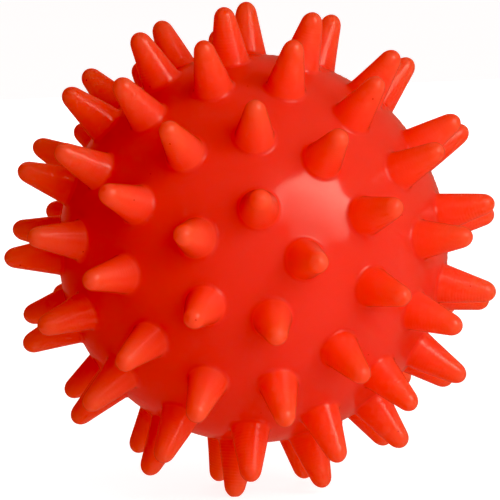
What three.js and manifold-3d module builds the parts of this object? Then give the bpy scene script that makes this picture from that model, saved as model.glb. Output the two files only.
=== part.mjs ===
// Spiky massage ball: a hollow ball of soft vinyl with rounded spikes, an air valve and its stopper.
//
// Millimetres. The origin is the ball's centre. +Y is the ball's pole axis, the direction in which its
// two mould halves part, and points to the valve. +Z is up as the ball stands on its lowest spikes.

import * as THREE from 'three';
import { mergeVertices } from 'three/addons/utils/BufferGeometryUtils.js';
import Module from 'manifold-3d';

// Ball
const BODY_RADIUS = 35;
const WALL = 1.8;
const SPIKE_HEIGHT = 10;
const SPIKE_FOOT_RADIUS = 3.6;
const SPIKE_DOME_RADIUS = 2.0;
const SPIKE_DOME_HEIGHT = 2.3;
const SPIKE_SINK = 1.2; // how far a spike's foot reaches into the wall

// Rings of spikes on the front half, counted from its pole at -Y. polar is the angle from the pole,
// and first is where a ring's first spike stands, clockwise from +Z as seen from the front.
const SPIKE_RINGS = [
  { polar: 16.5, count: 5, first: 13.1 },
  { polar: 38.6, count: 11, first: 4.7 },
  { polar: 60.0, count: 15, first: -10.2 },
  { polar: 78.5, count: 17, first: -4.6 },
];
const REAR_HALF_TURN = 101.3; // both halves are alike: the rear one is turned over, then by this angle

// Valve, on the rear pole. Its bore, flange, stem and bead are one soft insert in the ball's collar.
const GAP = 0.3; // between pieces that touch
const FACE_Y = BODY_RADIUS - 0.3; // the flange's flat outer face
const FLANGE_RADIUS = 4.4;
const FLANGE_HEIGHT = 1.6;
const STEM_RADIUS = 3.0;
const BORE_RADIUS = 1.6;
const HEAD_SEAT_RADIUS = 3.4;
const HEAD_SEAT_DEPTH = 0.9;
const BEAD_RADIUS = 3.9;
const BEAD_HEIGHT = 2.2;
const COLLAR_RADIUS = 5.4;
const COLLAR_SHOULDER_RADIUS = 7.4;
const COLLAR_SHOULDER_Y = 30.4;
const COLLAR_END_Y = 26.5;

// Stopper, pushed into the valve
const HEAD_RADIUS = 3.1;
const HEAD_HEIGHT = 1.0;
const HEAD_BEVEL = 0.35;
const PIN_RADIUS = 1.3;
const PIN_TIP_RADIUS = 0.7;
const PIN_LENGTH = 9.2;
const PIN_TAPER_LENGTH = 1.6;
const RIB_RADIUS = 1.5; // the two ribs that seal against the bore
const RIB_HEIGHT = 0.8;
const RIB_DEPTHS = [3.0, 5.4]; // below the head

const SPIKE_SIDES = 8;
const ROUND_SIDES = 32;
const OUTER_DETAIL = 5; // subdivisions of the icosahedron that makes the ball's outside
const INNER_DETAIL = 4;

const UP = new THREE.Vector3(0, 1, 0);
const degrees = THREE.MathUtils.degToRad;
const point = (radius, y) => new THREE.Vector2(radius, y);

const manifold = await Module();
manifold.setup();

function solid(geometry) {
  const bare = geometry.clone();
  bare.deleteAttribute('normal');
  bare.deleteAttribute('uv');
  const merged = mergeVertices(bare.index ? bare.toNonIndexed() : bare, 1e-4);
  return new manifold.Manifold(new manifold.Mesh({
    numProp: 3,
    vertProperties: new Float32Array(merged.attributes.position.array),
    triVerts: new Uint32Array(merged.index.array),
  }));
}

function geometryOf(body) {
  const mesh = body.getMesh();
  const geometry = new THREE.BufferGeometry();
  geometry.setAttribute('position', new THREE.BufferAttribute(mesh.vertProperties, 3));
  geometry.setIndex(new THREE.BufferAttribute(mesh.triVerts, 1));
  geometry.computeVertexNormals();
  return geometry;
}

function cylinder(radius, lowY, highY) {
  const geometry = new THREE.CylinderGeometry(radius, radius, highY - lowY, ROUND_SIDES);
  return geometry.translate(0, (lowY + highY) / 2, 0);
}

// A spike about +Y, with its dome rounded by a quarter of an ellipse.
function spikeGeometry() {
  const footY = BODY_RADIUS - SPIKE_SINK;
  const domeY = BODY_RADIUS + SPIKE_HEIGHT - SPIKE_DOME_HEIGHT;
  const slope = (SPIKE_FOOT_RADIUS - SPIKE_DOME_RADIUS) / (domeY - BODY_RADIUS);
  const profile = [point(0, footY), point(SPIKE_FOOT_RADIUS + slope * SPIKE_SINK, footY)];
  for (const angle of [0, 48, 90]) {
    const radius = angle === 90 ? 0 : SPIKE_DOME_RADIUS * Math.cos(degrees(angle));
    profile.push(point(radius, domeY + SPIKE_DOME_HEIGHT * Math.sin(degrees(angle))));
  }
  return new THREE.LatheGeometry(profile, SPIKE_SIDES);
}

// Unit vectors along every spike's axis.
function spikeDirections() {
  const directions = [];
  for (const ring of SPIKE_RINGS) {
    const out = Math.sin(degrees(ring.polar));
    const along = Math.cos(degrees(ring.polar));
    for (let i = 0; i < ring.count; i++) {
      const front = degrees(ring.first + (360 * i) / ring.count);
      const rear = degrees(REAR_HALF_TURN) - front;
      directions.push(new THREE.Vector3(out * Math.sin(front), -along, out * Math.cos(front)));
      directions.push(new THREE.Vector3(out * Math.sin(rear), along, out * Math.cos(rear)));
    }
  }
  return directions;
}

// The collar is thick wall around the valve, inside the ball: a shoulder under the flange, then a sleeve.
function collarGeometry() {
  return new THREE.LatheGeometry([
    point(0, COLLAR_END_Y),
    point(COLLAR_RADIUS, COLLAR_END_Y),
    point(COLLAR_RADIUS, COLLAR_SHOULDER_Y - COLLAR_SHOULDER_RADIUS + COLLAR_RADIUS),
    point(COLLAR_SHOULDER_RADIUS, COLLAR_SHOULDER_Y),
    point(COLLAR_SHOULDER_RADIUS, BODY_RADIUS - WALL),
    point(0, BODY_RADIUS - WALL),
  ], ROUND_SIDES);
}

function ballShellGeometry() {
  const inner = solid(new THREE.IcosahedronGeometry(BODY_RADIUS - WALL, INNER_DETAIL));
  let outer = solid(new THREE.IcosahedronGeometry(BODY_RADIUS, OUTER_DETAIL));
  for (const direction of spikeDirections()) {
    const turn = new THREE.Quaternion().setFromUnitVectors(UP, direction);
    outer = outer.add(solid(spikeGeometry().applyQuaternion(turn)));
  }
  const seat = solid(cylinder(FLANGE_RADIUS + GAP, FACE_Y - FLANGE_HEIGHT - GAP, BODY_RADIUS + 1));
  const stemHole = solid(cylinder(STEM_RADIUS + GAP, COLLAR_END_Y - 1, BODY_RADIUS));
  return geometryOf(outer.subtract(inner).add(solid(collarGeometry())).subtract(seat).subtract(stemHole));
}

function valveBodyGeometry() {
  const endY = COLLAR_END_Y - GAP - BEAD_HEIGHT;
  const seatY = FACE_Y - HEAD_SEAT_DEPTH;
  return new THREE.LatheGeometry([
    point(BORE_RADIUS, endY),
    point(STEM_RADIUS, endY),
    point(BEAD_RADIUS, endY + BEAD_HEIGHT / 2),
    point(BEAD_RADIUS, endY + BEAD_HEIGHT),
    point(STEM_RADIUS, endY + BEAD_HEIGHT),
    point(STEM_RADIUS, FACE_Y - FLANGE_HEIGHT),
    point(FLANGE_RADIUS, FACE_Y - FLANGE_HEIGHT),
    point(FLANGE_RADIUS, FACE_Y),
    point(HEAD_SEAT_RADIUS, FACE_Y),
    point(HEAD_SEAT_RADIUS, seatY),
    point(BORE_RADIUS, seatY),
    point(BORE_RADIUS, endY),
  ], ROUND_SIDES);
}

function valvePlugGeometry() {
  const headY = FACE_Y - HEAD_SEAT_DEPTH + GAP;
  const topY = headY + HEAD_HEIGHT;
  const tipY = headY - PIN_LENGTH;
  const profile = [
    point(0, tipY),
    point(PIN_TIP_RADIUS, tipY),
    point(PIN_RADIUS, tipY + PIN_TAPER_LENGTH),
  ];
  for (const depth of [...RIB_DEPTHS].reverse()) {
    profile.push(point(PIN_RADIUS, headY - depth - RIB_HEIGHT));
    profile.push(point(RIB_RADIUS, headY - depth - RIB_HEIGHT / 2));
    profile.push(point(PIN_RADIUS, headY - depth));
  }
  profile.push(
    point(PIN_RADIUS, headY),
    point(HEAD_RADIUS - HEAD_BEVEL, headY),
    point(HEAD_RADIUS, headY + HEAD_BEVEL),
    point(HEAD_RADIUS, topY - HEAD_BEVEL),
    point(HEAD_RADIUS - HEAD_BEVEL, topY),
    point(0, topY),
  );
  return new THREE.LatheGeometry(profile, ROUND_SIDES);
}

function part(name, geometry, color, roughness) {
  const material = new THREE.MeshStandardMaterial({ color, roughness, metalness: 0 });
  const mesh = new THREE.Mesh(geometry, material);
  mesh.name = name;
  return mesh;
}

const group = new THREE.Group();
group.add(
  part('ball_shell', ballShellGeometry(), 0xe23a1e, 0.2),
  part('valve_body', valveBodyGeometry(), 0xc9301a, 0.35),
  part('valve_plug', valvePlugGeometry(), 0xf1ece2, 0.3),
);

export default group;
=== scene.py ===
"""A spiky massage ball of glossy vermilion vinyl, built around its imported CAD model. Metres, +Z up.

The ball's visible shell, valve insert and stopper are finer meshes than the CAD nodes that they replace.
"""

import math
import random

import bmesh
import bpy
from mathutils import Matrix, Vector, noise


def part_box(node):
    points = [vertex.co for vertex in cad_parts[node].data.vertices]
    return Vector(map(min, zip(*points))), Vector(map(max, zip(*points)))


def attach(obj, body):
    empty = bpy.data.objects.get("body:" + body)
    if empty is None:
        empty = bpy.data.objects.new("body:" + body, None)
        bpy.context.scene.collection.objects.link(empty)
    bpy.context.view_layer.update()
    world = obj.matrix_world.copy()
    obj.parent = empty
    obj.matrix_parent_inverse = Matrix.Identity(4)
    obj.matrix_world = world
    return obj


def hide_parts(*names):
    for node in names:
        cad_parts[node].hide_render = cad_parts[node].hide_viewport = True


MM = 0.001

# The ball. Lengths here and below are in millimetres until a mesh is made.
BODY_RADIUS = 35.0
WALL = 1.8
SPIKE_HEIGHT = 10.0
SPIKE_FOOT_RADIUS = 3.55
SPIKE_TAPER = math.radians(11.4)
DOME_HEIGHT = 2.4
FILLET = 0.85
SPIKE_RINGS = [  # angle from the front pole, spikes in the ring, and where its first spike stands
    (16.5, 5, 13.1),
    (38.6, 11, 4.7),
    (60.0, 15, -10.2),
    (78.5, 17, -4.6),
]
REAR_HALF_TURN = 101.3  # the rear half is the front half turned over, then round by this angle
FLASH_HEIGHT = 0.1  # the mould's parting line, round the equator
FLASH_WIDTH = 0.35
FLASH_ROWS = (-1.5, -0.8, -0.35, 0.0, 0.35, 0.8, 1.5)  # where the mesh follows it, by Y
SLOW_WANDER = 0.16  # how far the cast vinyl strays from true, over 11 mm and over 4.5 mm
SLOW_WANDER_LENGTH = 11.0
QUICK_WANDER = 0.035
QUICK_WANDER_LENGTH = 4.5
QUICK_WANDER_PLACE = Vector((7, 3, 1))  # where its noise is read, so that it differs from the slow one's
WANDER_SEED = 13  # Blender's vector noise differs from run to run without one
TRUE_Y = 33.0  # round the valve the skin is true, from this Y on
TRUE_BLEND = 3.0
LATHE_PITCH = 0.56  # the fine rings round each spike, and how deep they are
LATHE_DEPTH = 0.012

# How finely the shell is meshed
SPIKE_SIDES = 32
FILLET_ROWS = 5
FILLET_ROUNDS = 30  # enough for the fillet's centre to settle
FLANK_ROWS = 12
DOME_ROWS = 7
SKIN_STEP = 1.15
SKIN_CLEAR = 0.6  # how many steps its points keep from the feet, and how many the flash rows' do
FLASH_CLEAR = 0.5
SEAT_STEPS = 28
ROUND_SIDES = 64
CORNER_STEPS = 4  # how a rounded corner is divided, and the most of either side that it takes
CORNER_SHARE = 0.45

# The valve, on the rear pole
VALVE_AXIS = Vector((0, 1, 0))
GAP = 0.3
FACE_Y = BODY_RADIUS - 0.3
FLANGE_RADIUS = 4.4
FLANGE_HEIGHT = 1.6
STEM_RADIUS = 3.0
COLLAR_RADIUS = 5.4
COLLAR_SHOULDER_RADIUS = 7.4
COLLAR_SHOULDER_Y = 30.4
COLLAR_END_Y = 26.5
STEM_LENGTH = 9.1
BORE_RADIUS = 1.6
BEAD_RADIUS = 3.9
BEAD_HEIGHT = 2.2
HEAD_SEAT_RADIUS = 3.4
HEAD_SEAT_DEPTH = 0.9
SEAT_RIM = 0.35  # the rounded edge where the ball's skin turns down to the flange
SEAT_EDGE = 0.2  # the bevels further in
COLLAR_EDGE = 0.5

# The stopper, in the valve
HEAD_RADIUS = 3.1
HEAD_HEIGHT = 1.0
HEAD_RIM = 0.7  # the pinch rim round the head's sunk middle
HEAD_RIM_SLOPE = 0.3
HEAD_DISH = 0.16
PIN_RADIUS = 1.3
PIN_TIP_RADIUS = 0.7
PIN_LENGTH = 9.2
PIN_TAPER_LENGTH = 1.6
RIB_RADIUS = 1.5
RIB_HEIGHT = 0.8
RIB_DEPTHS = (3.0, 5.4)

# Colours: two shades for most surfaces, between which they vary
WALL_REDS = (0.86, 0.047, 0.031, 1), (0.89, 0.053, 0.035, 1)
# The spikes' reds are lighter and more orange than the wall's: a painted glow, standing in for light
# scattered through the solid vinyl
FOOT_GLOW_REDS = (0.96, 0.066, 0.038, 1), (0.98, 0.074, 0.042, 1)
TIP_GLOW_REDS = (0.99, 0.082, 0.040, 1), (1.0, 0.093, 0.045, 1)
SPECK_RED = (0.66, 0.022, 0.01, 1)
SOLID_FROM = FILLET / 2  # the height at which a foot takes the spikes' painted glow, not the wall's colour
TONE_SEED = 5  # for which of its two shades each spike is nearer
INSERT_REDS = (0.56, 0.018, 0.006, 1), (0.66, 0.026, 0.009, 1)
VINYL_SCATTER = (1.0, 0.12, 0.06)  # how far red, green and blue light go in it, by comparison
VINYL_SCATTER_LENGTH = 9.5
SKIN_ROUGHNESS = 0.13
SPIKE_ROUGHNESS = 0.19
POLYTHENE_WHITES = (0.84, 0.81, 0.73, 1), (0.76, 0.71, 0.62, 1)
POLYTHENE_SCATTER = (1.0, 0.9, 0.7)
PAPER_WHITES = (0.56, 0.56, 0.56, 1), (0.6, 0.6, 0.6, 1)

# The picture
CAMERA_DISTANCE = 21.8 * BODY_RADIUS * MM
CAMERA_AZIMUTH = math.radians(1.63)
CAMERA_ELEVATION = math.radians(5.14)
CAMERA_ROLL = math.radians(2.0)
CAMERA_LENS = 305
CAMERA_AIM = Vector((-0.5, 0, -0.29)) * MM
BLACK_LEVEL = 0.02  # the darkest light that the film still records
KEY_SIDE = Vector((0.62, -0.68, 0.42)).normalized()  # towards the softbox, from the ball
KEY_LOW = 0.5  # its brightness at the lower left and at the upper right
KEY_HIGH = 4.0
KEY_RAMP = (0.4, 1.9)  # where it starts and stops rising, as x + y with each from 0 to 1 across it
WARM = (1, 0.93, 0.76)
BANK_SIDE = Vector((0.62, -0.74, 0.2)).normalized()  # towards the fill lights, which show in no gloss
NEAR_SIDE = Vector((0.25, -0.96, 0.05)).normalized()
BACK_SIDE = Vector((-0.15, 0.95, 0.28)).normalized()
GLOW_POWER = 0.0048
GLOW_RADIUS = 2.0
GLOW_COLOUR = (1, 0.03, 0.015)
OPEN_SIDE = Vector((0.45, -0.87, 0.2)).normalized()
WORLD_LIGHT = (0.0, 0.51)  # the studio's light from its closed side, and from its open side
BELOW_LIGHT = 0.8  # and what comes up from the table besides
LEFT_GLOSS = (0.52, 0.04, 0.022, 1)  # what the vinyl mirrors on the left and on the right
RIGHT_GLOSS = (0.72, 0.22, 0.14, 1)
REAR_GLOSS = 0.03  # how white that grows straight behind the ball, and down at the table
BELOW_GLOSS = 0.03
WHITE = (0.98, 0.98, 0.98, 1)
PAPER_LIGHT = 0.82
FLOOR_SIZE = 8
FLOOR_LIFT = 0.16 * MM  # above the ball's lowest point, as the soft tip that stands on it gives a little


# ---------------------------------------------------------------- shapes


def spike_directions():
    """Unit vectors along every spike's axis."""
    directions = []
    for polar, count, first in SPIKE_RINGS:
        out, along = math.sin(math.radians(polar)), math.cos(math.radians(polar))
        for i in range(count):
            front = math.radians(first + 360 * i / count)
            rear = math.radians(REAR_HALF_TURN) - front
            directions.append(Vector((out * math.sin(front), -along, out * math.cos(front))))
            directions.append(Vector((out * math.sin(rear), along, out * math.cos(rear))))
    return directions


def fillet_centre():
    """The fillet at a spike's foot as (radius, height) of its arc's centre. It touches ball and flank."""
    reach = BODY_RADIUS + FILLET
    radius = SPIKE_FOOT_RADIUS
    for _ in range(FILLET_ROUNDS):
        height = math.sqrt(reach**2 - radius**2)
        short = FILLET - (height - BODY_RADIUS) * math.sin(SPIKE_TAPER)
        radius = SPIKE_FOOT_RADIUS + short / math.cos(SPIKE_TAPER)
    return radius, height


def spike_profile():
    """(radius, height) rows from the ball's skin to just under the tip, from the ball's centre."""
    radius, height = fillet_centre()
    start = math.atan2(-height, -radius)
    end = -math.pi + SPIKE_TAPER
    rows = []
    for i in range(FILLET_ROWS + 1):
        angle = start + (end - start) * i / FILLET_ROWS
        rows.append((radius + FILLET * math.cos(angle), height + FILLET * math.sin(angle)))
    slope = math.tan(SPIKE_TAPER)
    dome_y = BODY_RADIUS + SPIKE_HEIGHT - DOME_HEIGHT
    flank_radius = SPIKE_FOOT_RADIUS - slope * (dome_y - BODY_RADIUS)
    dome_radius = math.sqrt(flank_radius**2 - (slope * DOME_HEIGHT) ** 2)
    dome_start = math.atan(slope * DOME_HEIGHT / dome_radius)
    low = rows[-1][1]
    high = dome_y + DOME_HEIGHT * math.sin(dome_start)
    for i in range(1, FLANK_ROWS):
        y = low + (high - low) * i / FLANK_ROWS
        rows.append((SPIKE_FOOT_RADIUS - slope * (y - BODY_RADIUS), y))
    for i in range(DOME_ROWS):
        angle = dome_start + (math.pi / 2 - dome_start) * i / DOME_ROWS
        rows.append((dome_radius * math.cos(angle), dome_y + DOME_HEIGHT * math.sin(angle)))
    return rows


def across(axis):
    """Two unit vectors square to an axis and to each other."""
    side = axis.cross(Vector((0, 0, 1)) if abs(axis.z) < 0.9 else Vector((1, 0, 0))).normalized()
    return side, axis.cross(side)


def ring_points(axis, radius, height, sides):
    """A ring of points around an axis through the ball's centre."""
    side, up = across(axis)
    points = []
    for i in range(sides):
        angle = 2 * math.pi * i / sides
        points.append(axis * height + (side * math.cos(angle) + up * math.sin(angle)) * radius)
    return points


def seat_profile():
    """The shell round the valve and inside the ball, from its skin to the middle of its front wall."""
    seat = FLANGE_RADIUS + GAP
    floor_y = FACE_Y - FLANGE_HEIGHT - GAP
    hole = STEM_RADIUS + GAP
    rim_radius = seat + SEAT_RIM
    rim_y = math.sqrt(BODY_RADIUS**2 - rim_radius**2)
    rows = [(rim_radius, rim_y)]
    for degrees in (60, 30, 0):
        angle = math.radians(degrees)
        inward, down = 1 - math.cos(angle), 1 - math.sin(angle)
        rows.append((seat + SEAT_RIM * inward, rim_y - SEAT_RIM * down))
    rows += [
        (seat, floor_y + SEAT_EDGE),
        (seat - SEAT_EDGE, floor_y),
        (hole + SEAT_EDGE, floor_y),
        (hole, floor_y - SEAT_EDGE),
        (hole, COLLAR_END_Y + SEAT_EDGE),
        (hole + SEAT_EDGE, COLLAR_END_Y),
        (COLLAR_RADIUS - COLLAR_EDGE, COLLAR_END_Y),
        (COLLAR_RADIUS, COLLAR_END_Y + COLLAR_EDGE),
        (COLLAR_RADIUS, COLLAR_SHOULDER_Y - COLLAR_SHOULDER_RADIUS + COLLAR_RADIUS),
        (COLLAR_SHOULDER_RADIUS, COLLAR_SHOULDER_Y),
    ]
    inner = BODY_RADIUS - WALL
    start = math.asin(COLLAR_SHOULDER_RADIUS / inner)
    for i in range(SEAT_STEPS):
        angle = start + (math.pi - start) * i / SEAT_STEPS
        rows.append((inner * math.sin(angle), inner * math.cos(angle)))
    return rows


def skin_points(directions, foot_angle, seat_angle):
    """Points spread evenly over the ball's skin, clear of the spikes, the parting line and the valve."""
    step = SKIN_STEP / BODY_RADIUS
    count = round(4 * math.pi / (step * step * math.sqrt(3) / 2))
    golden = math.pi * (3 - math.sqrt(5))
    clear = math.cos(foot_angle + SKIN_CLEAR * step)
    points = []
    for i in range(count):
        y = 1 - (2 * i + 1) / count
        ring = math.sqrt(1 - y * y)
        point = Vector((ring * math.cos(golden * i), y, ring * math.sin(golden * i)))
        if abs(y) * BODY_RADIUS < FLASH_ROWS[-1] + SKIN_CLEAR * SKIN_STEP:
            continue
        if point.dot(VALVE_AXIS) > math.cos(seat_angle + SKIN_CLEAR * step):
            continue
        if any(point.dot(direction) > clear for direction in directions):
            continue
        points.append(point * BODY_RADIUS)
    return points


def equator_points(directions, foot_angle):
    """Rows of points along the mould's parting line, so that its fine ridge has a mesh to stand on."""
    count = round(2 * math.pi * BODY_RADIUS / SKIN_STEP)
    clear = math.cos(foot_angle + FLASH_CLEAR * SKIN_STEP / BODY_RADIUS)
    points = []
    for row, y in enumerate(FLASH_ROWS):
        ring = math.sqrt(BODY_RADIUS**2 - y * y)
        for i in range(count):
            angle = 2 * math.pi * (i + 0.5 * (row % 2)) / count
            point = Vector((ring * math.cos(angle), y, ring * math.sin(angle)))
            if all(point.normalized().dot(direction) <= clear for direction in directions):
                points.append(point)
    return points


def bridge(bm, low, high):
    """Quads between two rings of vertices with the same number of points."""
    sides = len(low)
    for i in range(sides):
        j = (i + 1) % sides
        bm.faces.new((low[i], low[j], high[j], high[i]))


def cap(bm, ring, tip):
    """Triangles from a ring of vertices to one vertex."""
    for i, vertex in enumerate(ring):
        bm.faces.new((vertex, ring[(i + 1) % len(ring)], tip))


def flash_ridge(point):
    """How far the parting line stands out at a point on the skin."""
    return FLASH_HEIGHT * math.exp(-((point.y / FLASH_WIDTH) ** 2))


def uneven(point):
    """The small unevenness of cast vinyl, as a shift of a point in millimetres."""
    slow = noise.noise_vector(point / SLOW_WANDER_LENGTH) * SLOW_WANDER
    quick = noise.noise(point / QUICK_WANDER_LENGTH + QUICK_WANDER_PLACE) * QUICK_WANDER
    return slow + point.normalized() * quick


def shell_mesh():
    """The whole shell: skin, spikes, valve seat, collar and inner wall, as one closed surface."""
    directions = spike_directions()
    profile = spike_profile()
    seat = seat_profile()
    foot_radius, foot_y = profile[0]
    foot_angle = math.asin(foot_radius / BODY_RADIUS)
    seat_angle = math.asin(seat[0][0] / BODY_RADIUS)

    bm = bmesh.new()
    height = bm.verts.layers.float.new("spike_height")
    solid = bm.verts.layers.float.new("spike_solid")
    tone = bm.verts.layers.float.new("spike_tone")
    axis = bm.verts.layers.float_vector.new("spike_axis")
    feet = []
    for direction in directions:
        feet.append([bm.verts.new(p) for p in ring_points(direction, foot_radius, foot_y, SPIKE_SIDES)])
    rim = [bm.verts.new(p) for p in ring_points(VALVE_AXIS, *seat[0], ROUND_SIDES)]
    for point in skin_points(directions, foot_angle, seat_angle):
        bm.verts.new(point)
    for point in equator_points(directions, foot_angle):
        bm.verts.new(point)
    bm.verts.ensure_lookup_table()
    ring_of = {}
    for number, ring in enumerate([*feet, rim]):
        for vertex in ring:
            ring_of[vertex] = number
    bmesh.ops.convex_hull(bm, input=bm.verts[:], use_existing_faces=False)
    inside = [f for f in bm.faces if len({ring_of.get(v, -1 - i) for i, v in enumerate(f.verts)}) == 1]
    bmesh.ops.delete(bm, geom=inside, context="FACES")

    draw = random.Random(TONE_SEED)
    for direction, foot in zip(directions, feet):
        shade = draw.random()
        rows = [foot]
        for radius, y in profile[1:]:
            rows.append([bm.verts.new(p) for p in ring_points(direction, radius, y, SPIKE_SIDES)])
            for vertex in rows[-1]:
                vertex[height] = max(0.0, y - BODY_RADIUS)
                vertex[solid] = min(1.0, vertex[height] / SOLID_FROM)
        for low, high in zip(rows, rows[1:]):
            bridge(bm, low, high)
        tip = bm.verts.new(direction * (BODY_RADIUS + SPIKE_HEIGHT))
        cap(bm, rows[-1], tip)
        tip[height] = SPIKE_HEIGHT
        tip[solid] = 1.0
        for vertex in [tip, *(v for row in rows for v in row)]:
            vertex[tone] = shade
            vertex[axis] = direction
    ring = rim
    for radius, y in seat[1:]:
        new = [bm.verts.new(p) for p in ring_points(VALVE_AXIS, radius, y, ROUND_SIDES)]
        bridge(bm, ring, new)
        ring = new
    cap(bm, ring, bm.verts.new(VALVE_AXIS * (WALL - BODY_RADIUS)))

    for vertex in bm.verts:
        co = vertex.co.copy()
        if co.length > BODY_RADIUS - WALL / 2:
            co += co.normalized() * flash_ridge(co)
        near_valve = max(0.0, min(1.0, (co.y - TRUE_Y + TRUE_BLEND) / TRUE_BLEND))
        vertex.co = co + uneven(co) * (1 - near_valve)
    bmesh.ops.delete(bm, geom=[v for v in bm.verts if not v.link_faces], context="VERTS")
    bmesh.ops.recalc_face_normals(bm, faces=bm.faces[:])
    return bm


def lathe_mesh(profile, sides=ROUND_SIDES):
    """A closed profile of (radius, y) points, turned about the Y axis."""
    bm = bmesh.new()
    rings = []
    for radius, y in profile:
        if radius == 0:
            rings.append([bm.verts.new(VALVE_AXIS * y)])
        else:
            rings.append([bm.verts.new(p) for p in ring_points(VALVE_AXIS, radius, y, sides)])
    pairs = list(zip(rings, rings[1:]))
    if len(rings[0]) > 1:
        pairs.append((rings[-1], rings[0]))
    for low, high in pairs:
        if len(low) == 1 or len(high) == 1:
            ring, tip = (high, low[0]) if len(low) == 1 else (low, high[0])
            cap(bm, ring, tip)
        else:
            bridge(bm, low, high)
    bmesh.ops.recalc_face_normals(bm, faces=bm.faces[:])
    return bm


def rounded(corners, radius):
    """A closed outline with rounded corners. A corner is (radius, y), or (radius, y, own rounding)."""
    outline = []
    count = len(corners)
    for i, corner in enumerate(corners):
        own = corner[2] if len(corner) > 2 else radius
        here = Vector(corner[:2])
        before = Vector(corners[i - 1][:2]) - here
        after = Vector(corners[(i + 1) % count][:2]) - here
        reach = min(own, CORNER_SHARE * before.length, CORNER_SHARE * after.length)
        start, end = here + before.normalized() * reach, here + after.normalized() * reach
        if own == 0:
            outline.append(tuple(here))
            continue
        for k in range(CORNER_STEPS + 1):
            t = k / CORNER_STEPS
            outline.append(tuple(start * (1 - t) ** 2 + here * 2 * t * (1 - t) + end * t**2))
    return outline


def open_rounded(corners):
    """The same for an outline that starts and ends on the axis, where it stays as it is."""
    outline = rounded([(-1, corners[0][1], 0), *corners, (-1, corners[-1][1], 0)], 0)
    return [point for point in outline if point[0] >= 0]


def to_object(bm, name):
    """A smooth-shaded object from a mesh in millimetres."""
    bm.transform(Matrix.Scale(MM, 4))
    mesh = bpy.data.meshes.new(name)
    bm.to_mesh(mesh)
    bm.free()
    mesh.polygons.foreach_set("use_smooth", [True] * len(mesh.polygons))
    obj = bpy.data.objects.new(name, mesh)
    bpy.context.scene.collection.objects.link(obj)
    return obj


# ---------------------------------------------------------------- pieces


def make_shell():
    """The ball and its spikes, which are one moulding."""
    shell = to_object(shell_mesh(), "vinyl_ball")
    shell.data.materials.append(red_vinyl())
    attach(shell, "ball")
    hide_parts("ball_shell")


def make_valve():
    """The soft insert in the rear pole: a flange flush with the ball, a stem and a bead inside."""
    under = FACE_Y - FLANGE_HEIGHT
    end = under - STEM_LENGTH
    outline = rounded(
        [
            (BORE_RADIUS, end, 0.25),
            (BEAD_RADIUS, end, 0.7),
            (BEAD_RADIUS, end + BEAD_HEIGHT, 0.5),
            (STEM_RADIUS, end + BEAD_HEIGHT, 0.1),
            (STEM_RADIUS, under, 0.1),
            (FLANGE_RADIUS, under, 0.15),
            (FLANGE_RADIUS, FACE_Y, 0.3),
            (HEAD_SEAT_RADIUS, FACE_Y, 0.12),
            (HEAD_SEAT_RADIUS, FACE_Y - HEAD_SEAT_DEPTH, 0.1),
            (BORE_RADIUS, FACE_Y - HEAD_SEAT_DEPTH, 0.2),
        ],
        0.1,
    )
    valve = to_object(lathe_mesh(outline), "valve_insert")
    valve.data.materials.append(valve_vinyl())
    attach(valve, "ball")
    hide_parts("valve_body")


def make_stopper():
    """The pull-out stopper: a low head with a pinch rim, and a ribbed pin that tapers to its tip."""
    top = FACE_Y - HEAD_SEAT_DEPTH + GAP + HEAD_HEIGHT
    under = top - HEAD_HEIGHT
    tip = under - PIN_LENGTH
    corners = [
        (0, top - HEAD_DISH, 0),
        (HEAD_RADIUS - HEAD_RIM - HEAD_RIM_SLOPE, top - HEAD_DISH, 0.3),
        (HEAD_RADIUS - HEAD_RIM, top, 0.15),
        (HEAD_RADIUS, top, 0.35),
        (HEAD_RADIUS, under, 0.12),
        (PIN_RADIUS, under, 0.1),
    ]
    for depth in RIB_DEPTHS:
        corners += [
            (PIN_RADIUS, under - depth, 0.08),
            (RIB_RADIUS, under - depth - RIB_HEIGHT / 4, 0.12),
            (RIB_RADIUS, under - depth - RIB_HEIGHT * 3 / 4, 0.12),
            (PIN_RADIUS, under - depth - RIB_HEIGHT, 0.08),
        ]
    corners += [(PIN_RADIUS, tip + PIN_TAPER_LENGTH, 0.4), (PIN_TIP_RADIUS, tip, 0.25), (0, tip, 0)]
    stopper = to_object(lathe_mesh(open_rounded(corners)), "stopper")
    stopper.data.materials.append(stopper_plastic())
    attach(stopper, "stopper")
    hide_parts("valve_plug")


# ---------------------------------------------------------------- materials


class Nodes:
    """Short calls for building a node tree."""

    def __init__(self, name):
        self.material = bpy.data.materials.new(name)
        self.material.use_nodes = True
        self.tree = self.material.node_tree
        self.shader = self.tree.nodes["Principled BSDF"]

    def add(self, kind, inputs=None, **settings):
        node = self.tree.nodes.new(kind)
        for key, value in settings.items():
            setattr(node, key, value)
        for key, value in (inputs or {}).items():
            self.put(node.inputs[key], value)
        return node

    def put(self, socket, value):
        if isinstance(value, bpy.types.NodeSocket):
            self.tree.links.new(value, socket)
        else:
            socket.default_value = value

    def attribute(self, name):
        return self.add("ShaderNodeAttribute", attribute_name=name).outputs["Fac"]

    def math(self, operation, a, b=0.0):
        return self.add("ShaderNodeMath", {0: a, 1: b}, operation=operation).outputs[0]

    def fade(self, value, low, high, to_low=0.0, to_high=1.0):
        inputs = {"Value": value, "From Min": low, "From Max": high, "To Min": to_low, "To Max": to_high}
        return self.add("ShaderNodeMapRange", inputs, interpolation_type="SMOOTHSTEP").outputs["Result"]

    def mix(self, factor, a, b):
        node = self.add("ShaderNodeMix", {0: factor}, data_type="RGBA")
        self.put(node.inputs[6], a)
        self.put(node.inputs[7], b)
        return node.outputs[2]

    def bump(self, height, strength, distance):
        inputs = {"Height": height, "Strength": strength, "Distance": distance}
        return self.add("ShaderNodeBump", inputs).outputs["Normal"]

    def noise(self, vector, scale, detail=2.0):
        inputs = {"Vector": vector, "Scale": scale, "Detail": detail}
        return self.add("ShaderNodeTexNoise", inputs).outputs["Fac"]


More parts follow.
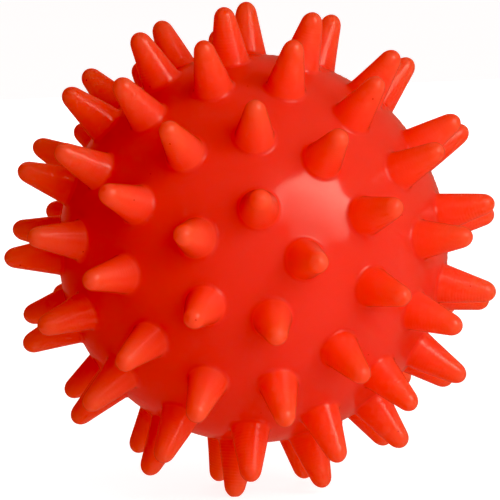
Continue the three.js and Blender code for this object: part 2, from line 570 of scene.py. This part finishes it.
def vinyl_colour(n, place, height):
    """Deep red in the thin wall, a painted glow in the spikes that grows more orange towards their tips,
    and a few dark specks.
    """
    solid = n.attribute("spike_solid")
    tone = n.attribute("spike_tone")
    wall = n.mix(n.noise(place, 60.0), *WALL_REDS)
    foot = n.mix(tone, *FOOT_GLOW_REDS)
    tip = n.mix(tone, *TIP_GLOW_REDS)
    # painted glow: where the vinyl is solid the wall's red gives way to lighter reds, more so towards the
    # tips
    clean = n.mix(solid, wall, n.mix(n.fade(height, 1.0, 9.0), foot, tip))
    cells = n.add("ShaderNodeTexVoronoi", {"Vector": place, "Scale": 200.0})
    speck = n.math("LESS_THAN", cells.outputs["Distance"], 0.03)
    return n.mix(speck, clean, SPECK_RED)


def lathe_marks(n, place, height):
    """Fine uneven rings round each spike, as the mould's cutter left them, worn away here and there."""
    wander = n.math("MULTIPLY", n.noise(place, 300.0), 3.0)
    turn = n.math("MULTIPLY", height, 2 * math.pi / LATHE_PITCH)
    rings = n.math("SINE", n.math("ADD", turn, wander))
    worn = n.fade(n.noise(place, 1100.0), 0.35, 0.65, 0.25, 1.0)
    on_flank = n.math("MULTIPLY", n.fade(height, 0.4, 1.2), n.fade(height, 9.0, 7.8))
    depth = n.math("MULTIPLY", n.math("MULTIPLY", rings, worn), on_flank)
    return n.bump(depth, 1.0, LATHE_DEPTH * MM)


def red_vinyl():
    """Translucent vermilion vinyl. The fine rings on the spikes draw their gloss out along them."""
    n = Nodes("red_vinyl")
    place = n.add("ShaderNodeTexCoord").outputs["Object"]
    height = n.attribute("spike_height")
    n.put(n.shader.inputs["Base Color"], vinyl_colour(n, place, height))
    n.put(n.shader.inputs["Normal"], lathe_marks(n, place, height))
    n.put(n.shader.inputs["Roughness"], n.fade(height, 0.0, 1.5, SKIN_ROUGHNESS, SPIKE_ROUGHNESS))
    turned = n.math("MULTIPLY", n.fade(height, 0.3, 1.2), n.fade(height, 8.6, 7.4))
    n.put(n.shader.inputs["Anisotropic"], turned)
    along = n.add("ShaderNodeAttribute", attribute_name="spike_axis").outputs["Vector"]
    n.put(n.shader.inputs["Tangent"], along)
    n.shader.inputs["IOR"].default_value = 1.45
    n.shader.subsurface_method = "RANDOM_WALK"
    n.shader.inputs["Subsurface Weight"].default_value = 1.0
    n.shader.inputs["Subsurface Radius"].default_value = VINYL_SCATTER
    n.shader.inputs["Subsurface Scale"].default_value = VINYL_SCATTER_LENGTH * MM
    return n.material


def valve_vinyl():
    """The insert's own softer vinyl: the same red, duller, with a faint bloom of dust."""
    n = Nodes("valve_vinyl")
    place = n.add("ShaderNodeTexCoord").outputs["Object"]
    n.put(n.shader.inputs["Base Color"], n.mix(n.noise(place, 350.0), *INSERT_REDS))
    n.put(n.shader.inputs["Roughness"], n.fade(n.noise(place, 700.0), 0.3, 0.7, 0.38, 0.5))
    n.put(n.shader.inputs["Normal"], n.bump(n.noise(place, 2500.0), 0.25, 0.05 * MM))
    n.shader.inputs["IOR"].default_value = 1.5
    n.shader.inputs["Subsurface Weight"].default_value = 0.6
    n.shader.inputs["Subsurface Radius"].default_value = VINYL_SCATTER
    n.shader.inputs["Subsurface Scale"].default_value = 0.002
    return n.material


def stopper_plastic():
    """Milky natural polythene, with fine flow lines and a little grime."""
    n = Nodes("stopper_plastic")
    place = n.add("ShaderNodeTexCoord").outputs["Object"]
    grime = n.fade(n.noise(place, 500.0), 0.55, 0.75)
    n.put(n.shader.inputs["Base Color"], n.mix(grime, *POLYTHENE_WHITES))
    n.put(n.shader.inputs["Roughness"], n.fade(n.noise(place, 900.0), 0.3, 0.7, 0.3, 0.42))
    n.put(n.shader.inputs["Normal"], n.bump(n.noise(place, 1500.0), 0.2, 0.05 * MM))
    n.shader.inputs["IOR"].default_value = 1.5
    n.shader.inputs["Subsurface Weight"].default_value = 0.5
    n.shader.inputs["Subsurface Radius"].default_value = POLYTHENE_SCATTER
    n.shader.inputs["Subsurface Scale"].default_value = 0.0015
    return n.material


def floor_paint():
    """White paper, faintly uneven, lit a little from behind so that it stays near white all over."""
    n = Nodes("studio_floor")
    place = n.add("ShaderNodeTexCoord").outputs["Object"]
    n.put(n.shader.inputs["Base Color"], n.mix(n.noise(place, 3.0), *PAPER_WHITES))
    n.shader.inputs["Roughness"].default_value = 0.8
    n.shader.inputs["Emission Color"].default_value = (1, 1, 1, 1)
    n.shader.inputs["Emission Strength"].default_value = PAPER_LIGHT
    return n.material


# ---------------------------------------------------------------- studio


def make_floor():
    """A wide plain floor under the lowest spikes."""
    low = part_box("ball_shell")[0].z
    bpy.ops.mesh.primitive_plane_add(size=FLOOR_SIZE, location=(0, 0, low + FLOOR_LIFT))
    floor = bpy.context.object
    floor.name = "studio_floor"
    floor.data.materials.append(floor_paint())
    floor.visible_diffuse = False
    floor.visible_glossy = False


def make_world():
    """A pale studio, brighter on its open side. The camera sees it white, and the gloss dim and reddish."""
    world = bpy.data.worlds.new("studio")
    bpy.context.scene.world = world
    world.use_nodes = True
    tree = world.node_tree

    def add(kind, inputs, **settings):
        node = tree.nodes.new(kind)
        for key, value in settings.items():
            setattr(node, key, value)
        for key, value in inputs.items():
            if isinstance(value, bpy.types.NodeSocket):
                tree.links.new(value, node.inputs[key])
            else:
                node.inputs[key].default_value = value
        return node

    def ramp(value, low, high, to_low, to_high):
        inputs = {"Value": value, "From Min": low, "From Max": high, "To Min": to_low, "To Max": to_high}
        return add("ShaderNodeMapRange", inputs).outputs["Result"]

    toward = tree.nodes.new("ShaderNodeTexCoord").outputs["Generated"]
    side = add("ShaderNodeVectorMath", {0: toward, 1: OPEN_SIDE}, operation="DOT_PRODUCT").outputs["Value"]
    axes = add("ShaderNodeSeparateXYZ", {0: toward}).outputs
    ray = tree.nodes.new("ShaderNodeLightPath").outputs

    # What lights the ball
    below = ramp(axes["Z"], 0, -1, 0, BELOW_LIGHT)
    lit = add("ShaderNodeMath", {0: ramp(side, -1, 1, *WORLD_LIGHT), 1: below}, operation="ADD").outputs[0]

    # What its gloss mirrors
    rear = ramp(axes["Y"], 0.6, 1, 0, REAR_GLOSS)
    sideways = ramp(axes["X"], -0.6, 1, 0, 1)
    gloss = add("ShaderNodeMix", {0: sideways, 6: LEFT_GLOSS, 7: RIGHT_GLOSS}, data_type="RGBA").outputs[2]
    table = ramp(axes["Z"], 0.1, -0.6, 0, BELOW_GLOSS)
    white = add("ShaderNodeMath", {0: rear, 1: table}, operation="ADD").outputs[0]
    gloss = add("ShaderNodeMix", {0: white, 6: gloss, 7: (1, 1, 1, 1)}, data_type="RGBA").outputs[2]

    # Which of these a ray finds, or white if it comes from the camera
    seen = add("ShaderNodeMix", {0: ray["Is Glossy Ray"], 6: lit, 7: gloss}, data_type="RGBA").outputs[2]
    shown = add("ShaderNodeMix", {0: ray["Is Camera Ray"], 6: seen, 7: WHITE}, data_type="RGBA").outputs[2]
    tree.links.new(shown, tree.nodes["Background"].inputs["Color"])


def aim(obj, target, roll=0.0):
    """Turns a light or the camera to look at a point, rolled about its own view."""
    view = (target - obj.location).to_track_quat("-Z", "Y").to_matrix().to_4x4()
    obj.rotation_euler = (view @ Matrix.Rotation(roll, 4, "Z")).to_euler()


def make_light(name, side, distance, size, power, colour=(1, 1, 1)):
    """A square softbox that the camera doesn't see."""
    data = bpy.data.lights.new(name, "AREA")
    data.size = size
    data.energy = power
    data.color = colour
    light = bpy.data.objects.new(name, data)
    bpy.context.scene.collection.objects.link(light)
    light.location = side * distance
    light.visible_camera = False
    aim(light, Vector((0, 0, 0)))
    return light


def grade(light, low, high):
    """Makes a softbox brighter towards one corner, which the ball mirrors at its upper right."""
    light.data.use_nodes = True
    tree = light.data.node_tree
    place = tree.nodes.new("ShaderNodeNewGeometry").outputs["Parametric"]
    axes = tree.nodes.new("ShaderNodeSeparateXYZ")
    tree.links.new(place, axes.inputs[0])
    total = tree.nodes.new("ShaderNodeMath")
    tree.links.new(axes.outputs["X"], total.inputs[0])
    tree.links.new(axes.outputs["Y"], total.inputs[1])
    ramp = tree.nodes.new("ShaderNodeMapRange")
    ramp.interpolation_type = "SMOOTHSTEP"
    ramp.inputs["From Min"].default_value = KEY_RAMP[0]
    ramp.inputs["From Max"].default_value = KEY_RAMP[1]
    ramp.inputs["To Min"].default_value = low
    ramp.inputs["To Max"].default_value = high
    tree.links.new(total.outputs[0], ramp.inputs["Value"])
    tree.links.new(ramp.outputs[0], tree.nodes["Emission"].inputs["Strength"])


def make_glow():
    """The light that the hollow ball holds, which has come in through its thin red wall."""
    data = bpy.data.lights.new("glow", "POINT")
    data.energy = GLOW_POWER
    data.color = GLOW_COLOUR
    data.shadow_soft_size = GLOW_RADIUS * MM
    glow = bpy.data.objects.new("glow", data)
    bpy.context.scene.collection.objects.link(glow)


def make_camera():
    """The photograph's long-lens view, from nearly straight in front and a little above."""
    data = bpy.data.cameras.new("camera")
    data.lens = CAMERA_LENS
    data.sensor_width = 36
    data.clip_start = 0.01
    camera = bpy.data.objects.new("camera", data)
    bpy.context.scene.collection.objects.link(camera)
    level = CAMERA_DISTANCE * math.cos(CAMERA_ELEVATION)
    camera.location = (
        level * math.sin(CAMERA_AZIMUTH),
        -level * math.cos(CAMERA_AZIMUTH),
        CAMERA_DISTANCE * math.sin(CAMERA_ELEVATION),
    )
    aim(camera, CAMERA_AIM, -CAMERA_ROLL)
    bpy.context.scene.camera = camera


# ---------------------------------------------------------------- the scene

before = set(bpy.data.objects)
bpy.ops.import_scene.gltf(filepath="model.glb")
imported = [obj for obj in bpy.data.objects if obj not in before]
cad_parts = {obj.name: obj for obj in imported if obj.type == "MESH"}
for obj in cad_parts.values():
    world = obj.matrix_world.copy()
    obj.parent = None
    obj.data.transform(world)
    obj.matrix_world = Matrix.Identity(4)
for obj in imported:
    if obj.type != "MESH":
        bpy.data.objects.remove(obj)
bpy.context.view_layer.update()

noise.seed_set(WANDER_SEED)
make_shell()
make_valve()
make_stopper()
make_floor()
make_world()
grade(make_light("key", KEY_SIDE, distance=0.7, size=0.44, power=1.0, colour=WARM), KEY_LOW, KEY_HIGH)
make_light("bank", BANK_SIDE, distance=1.3, size=1.3, power=7.5).visible_glossy = False
make_light("near", NEAR_SIDE, distance=0.17, size=0.08, power=0.03).visible_glossy = False
make_light("back", BACK_SIDE, distance=1.3, size=1.3, power=8.5).visible_glossy = False
make_glow()
make_camera()
view = bpy.context.scene.view_settings
view.view_transform = "Standard"
view.use_curve_mapping = True
view.curve_mapping.black_level = (BLACK_LEVEL,) * 3
